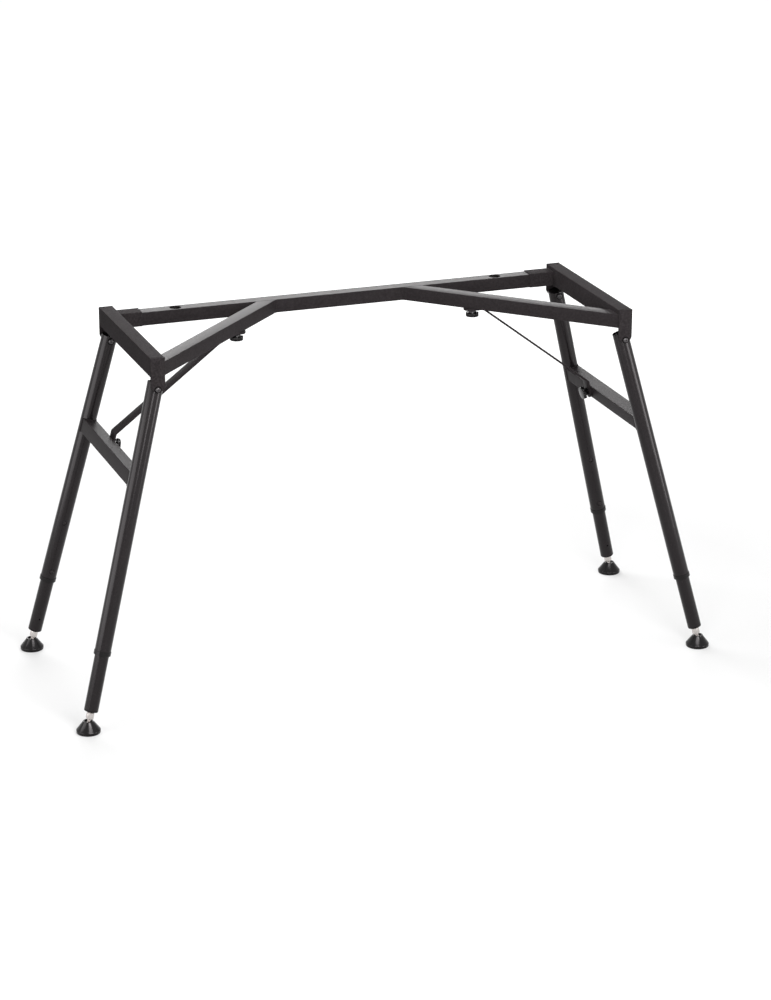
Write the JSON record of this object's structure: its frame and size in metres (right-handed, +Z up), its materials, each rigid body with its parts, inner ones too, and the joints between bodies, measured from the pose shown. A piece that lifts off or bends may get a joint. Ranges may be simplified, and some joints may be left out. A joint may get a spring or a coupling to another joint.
{
  "type": "folding keyboard stand",
  "caption": "Folding keyboard stand with side beams on a rear rail and diagonals, and telescopic legs with crossbars and braces.",
  "frame": {"origin": "on the floor below the middle of the stand", "axes": "+X to the player's right, +Y to the rear, +Z up"},
  "size_m": [1.355, 0.4998, 0.732],
  "materials": {
    "black_powder_coat": "satin",
    "black_plastic": "gloss",
    "zinc_plated_steel": "satin",
    "black_oxide_steel": "satin",
    "grey_nylon": "matte"
  },
  "bodies": {
    "frame": {"rear_rail": "black_powder_coat", "left_side_beam": "black_powder_coat", "left_rail_saddle": "black_powder_coat", "left_diagonal": "black_powder_coat", "left_front_lug": "black_powder_coat", "left_front_pivot_bolt": "black_oxide_steel", "left_front_pivot_nut": "black_oxide_steel", "left_rear_lug": "black_powder_coat", "left_rear_pivot_bolt": "black_oxide_steel", "left_rear_pivot_nut": "black_oxide_steel", "right_side_beam": "black_powder_coat", "right_rail_saddle": "black_powder_coat", "right_diagonal": "black_powder_coat", "right_front_lug": "black_powder_coat", "right_front_pivot_bolt": "black_oxide_steel", "right_front_pivot_nut": "black_oxide_steel", "right_rear_lug": "black_powder_coat", "right_rear_pivot_bolt": "black_oxide_steel", "right_rear_pivot_nut": "black_oxide_steel"},
    "left_leg_pair": {"left_crossbar": "black_powder_coat", "left_front_upper_leg": "black_powder_coat", "left_front_top_plug": "black_plastic", "left_front_leg_collar": "black_plastic", "left_rear_upper_leg": "black_powder_coat", "left_rear_top_plug": "black_plastic", "left_rear_leg_collar": "black_plastic"},
    "left_front_button": {"left_front_height_button": "grey_nylon"},
    "left_front_lower": {"left_front_lower_leg": "black_powder_coat", "left_front_foot_plug": "black_plastic"},
    "left_front_stud": {"left_front_foot_stud": "zinc_plated_steel"},
    "left_front_pad": {"left_front_foot_pad": "black_plastic"},
    "left_rear_button": {"left_rear_height_button": "grey_nylon"},
    "left_rear_lower": {"left_rear_lower_leg": "black_powder_coat", "left_rear_foot_plug": "black_plastic"},
    "left_rear_stud": {"left_rear_foot_stud": "zinc_plated_steel"},
    "left_rear_pad": {"left_rear_foot_pad": "black_plastic"},
    "left_brace_body": {"left_brace": "black_powder_coat"},
    "left_upper_knob_body": {"left_upper_knob": "black_plastic"},
    "left_lower_knob_body": {"left_lower_knob": "black_plastic"},
    "right_leg_pair": {"right_crossbar": "black_powder_coat", "right_front_upper_leg": "black_powder_coat", "right_front_top_plug": "black_plastic", "right_front_leg_collar": "black_plastic", "right_rear_upper_leg": "black_powder_coat", "right_rear_top_plug": "black_plastic", "right_rear_leg_collar": "black_plastic"},
    "right_front_button": {"right_front_height_button": "grey_nylon"},
    "right_front_lower": {"right_front_lower_leg": "black_powder_coat", "right_front_foot_plug": "black_plastic"},
    "right_front_stud": {"right_front_foot_stud": "zinc_plated_steel"},
    "right_front_pad": {"right_front_foot_pad": "black_plastic"},
    "right_rear_button": {"right_rear_height_button": "grey_nylon"},
    "right_rear_lower": {"right_rear_lower_leg": "black_powder_coat", "right_rear_foot_plug": "black_plastic"},
    "right_rear_stud": {"right_rear_foot_stud": "zinc_plated_steel"},
    "right_rear_pad": {"right_rear_foot_pad": "black_plastic"},
    "right_brace_body": {"right_brace": "black_powder_coat"},
    "right_upper_knob_body": {"right_upper_knob": "black_plastic"},
    "right_lower_knob_body": {"right_lower_knob": "black_plastic"}
  },
  "joints": [
    {"name": "left_leg_fold", "type": "hinge", "parent": "frame", "child": "left_leg_pair", "pos_m": [-0.4865, 0, 0.66951], "axis": [0, -1, 0], "range_deg": [0, 98]},
    {"name": "left_front_button_press", "type": "slide", "parent": "left_leg_pair", "child": "left_front_button", "axis": [-0.022, 0.9961, -0.0859], "range_m": [-0.003, 0], "stiffness_N_per_m": 300},
    {"name": "left_front_height_slide", "type": "slide", "parent": "left_leg_pair", "child": "left_front_lower", "axis": [0.2469, 0.0886, 0.965], "range_m": [0, 0.11]},
    {"name": "left_front_foot_level", "type": "slide", "parent": "left_front_lower", "child": "left_front_stud", "axis": [-0.2469, -0.0886, -0.965], "range_m": [-0.002, 0.008]},
    {"name": "left_front_pad_tilt", "type": "hinge", "parent": "left_front_stud", "child": "left_front_pad", "pos_m": [-0.65351, -0.22592, 0.0167], "axis": [0, 1, 0], "range_deg": [-8, 8]},
    {"name": "left_rear_button_press", "type": "slide", "parent": "left_leg_pair", "child": "left_rear_button", "axis": [-0.022, -0.9961, -0.0859], "range_m": [-0.003, 0], "stiffness_N_per_m": 300},
    {"name": "left_rear_height_slide", "type": "slide", "parent": "left_leg_pair", "child": "left_rear_lower", "axis": [0.2469, -0.0886, 0.965], "range_m": [0, 0.11]},
    {"name": "left_rear_foot_level", "type": "slide", "parent": "left_rear_lower", "child": "left_rear_stud", "axis": [-0.2469, 0.0886, -0.965], "range_m": [-0.002, 0.008]},
    {"name": "left_rear_pad_tilt", "type": "hinge", "parent": "left_rear_stud", "child": "left_rear_pad", "pos_m": [-0.65351, 0.22592, 0.0167], "axis": [0, 1, 0], "range_deg": [-8, 8]},
    {"name": "left_brace_turn", "type": "hinge", "parent": "left_leg_pair", "child": "left_brace_body", "pos_m": [-0.5201, 0.0567, 0.47242], "axis": [0, -1, 0], "range_deg": [-135.74, 0.5]},
    {"name": "left_upper_knob_turn", "type": "hinge", "parent": "left_brace_body", "child": "left_upper_knob_body", "pos_m": [-0.2527, 0.0567, 0.69401], "axis": [0, 0, -1], "continuous": true},
    {"name": "left_lower_knob_turn", "type": "hinge", "parent": "left_brace_body", "child": "left_lower_knob_body", "pos_m": [-0.51885, 0.0567, 0.48656], "axis": [0.9688, 0, -0.2478], "continuous": true},
    {"name": "right_leg_fold", "type": "hinge", "parent": "frame", "child": "right_leg_pair", "pos_m": [0.4865, 0, 0.66951], "axis": [0, 1, 0], "range_deg": [0, 80]},
    {"name": "right_front_button_press", "type": "slide", "parent": "right_leg_pair", "child": "right_front_button", "axis": [0.022, 0.9961, -0.0859], "range_m": [-0.003, 0], "stiffness_N_per_m": 300},
    {"name": "right_front_height_slide", "type": "slide", "parent": "right_leg_pair", "child": "right_front_lower", "axis": [-0.2469, 0.0886, 0.965], "range_m": [0, 0.11]},
    {"name": "right_front_foot_level", "type": "slide", "parent": "right_front_lower", "child": "right_front_stud", "axis": [0.2469, -0.0886, -0.965], "range_m": [-0.002, 0.008]},
    {"name": "right_front_pad_tilt", "type": "hinge", "parent": "right_front_stud", "child": "right_front_pad", "pos_m": [0.65351, -0.22592, 0.0167], "axis": [0, 1, 0], "range_deg": [-8, 8]},
    {"name": "right_rear_button_press", "type": "slide", "parent": "right_leg_pair", "child": "right_rear_button", "axis": [0.022, -0.9961, -0.0859], "range_m": [-0.003, 0], "stiffness_N_per_m": 300},
    {"name": "right_rear_height_slide", "type": "slide", "parent": "right_leg_pair", "child": "right_rear_lower", "axis": [-0.2469, -0.0886, 0.965], "range_m": [0, 0.11]},
    {"name": "right_rear_foot_level", "type": "slide", "parent": "right_rear_lower", "child": "right_rear_stud", "axis": [0.2469, 0.0886, -0.965], "range_m": [-0.002, 0.008]},
    {"name": "right_rear_pad_tilt", "type": "hinge", "parent": "right_rear_stud", "child": "right_rear_pad", "pos_m": [0.65351, 0.22592, 0.0167], "axis": [0, 1, 0], "range_deg": [-8, 8]},
    {"name": "right_brace_turn", "type": "hinge", "parent": "right_leg_pair", "child": "right_brace_body", "pos_m": [0.5201, 0.0567, 0.47242], "axis": [0, 1, 0], "range_deg": [-118.1, 0.5]},
    {"name": "right_upper_knob_turn", "type": "hinge", "parent": "right_brace_body", "child": "right_upper_knob_body", "pos_m": [0.2527, 0.0567, 0.69401], "axis": [0, 0, -1], "continuous": true},
    {"name": "right_lower_knob_turn", "type": "hinge", "parent": "right_brace_body", "child": "right_lower_knob_body", "pos_m": [0.51885, 0.0567, 0.48656], "axis": [-0.9688, 0, -0.2478], "continuous": true}
  ],
  "couplings": [
    {"joint": "left_brace_turn", "follows": "left_leg_fold", "ratio": -1.38},
    {"joint": "right_brace_turn", "follows": "right_leg_fold", "ratio": -1.47}
  ]
}
